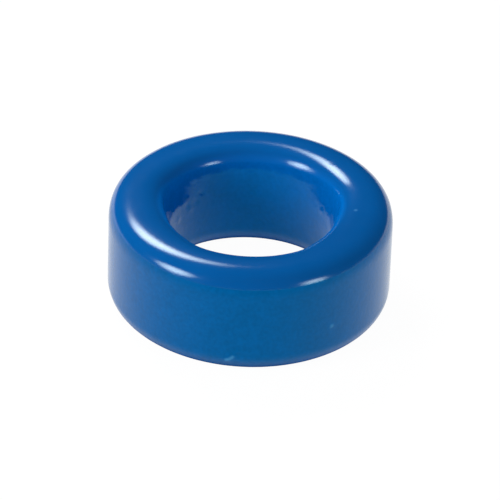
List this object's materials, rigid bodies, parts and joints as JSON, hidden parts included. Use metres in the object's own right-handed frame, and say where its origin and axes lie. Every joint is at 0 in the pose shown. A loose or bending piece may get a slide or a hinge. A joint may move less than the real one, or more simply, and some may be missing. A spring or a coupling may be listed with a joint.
{
  "type": "ferrite ring core",
  "caption": "Blue epoxy-coated ferrite ring core with well rounded edges, wound with wire to make a choke or small transformer.",
  "frame": {"origin": "centre of the lower flat face, on the ring's axis", "axes": "+Z along the ring's axis, up from the face it stands on; X and Y are any two radii at right angles, and the viewer of the picture is on the -Y side"},
  "size_m": [0.031, 0.031, 0.0126],
  "materials": {
    "epoxy_coat": "glossy blue epoxy coat over a dark fired ferrite ring, satin on the upright walls"
  },
  "bodies": {
    "root": {"ferrite_ring": "epoxy_coat"}
  },
  "joints": []
}
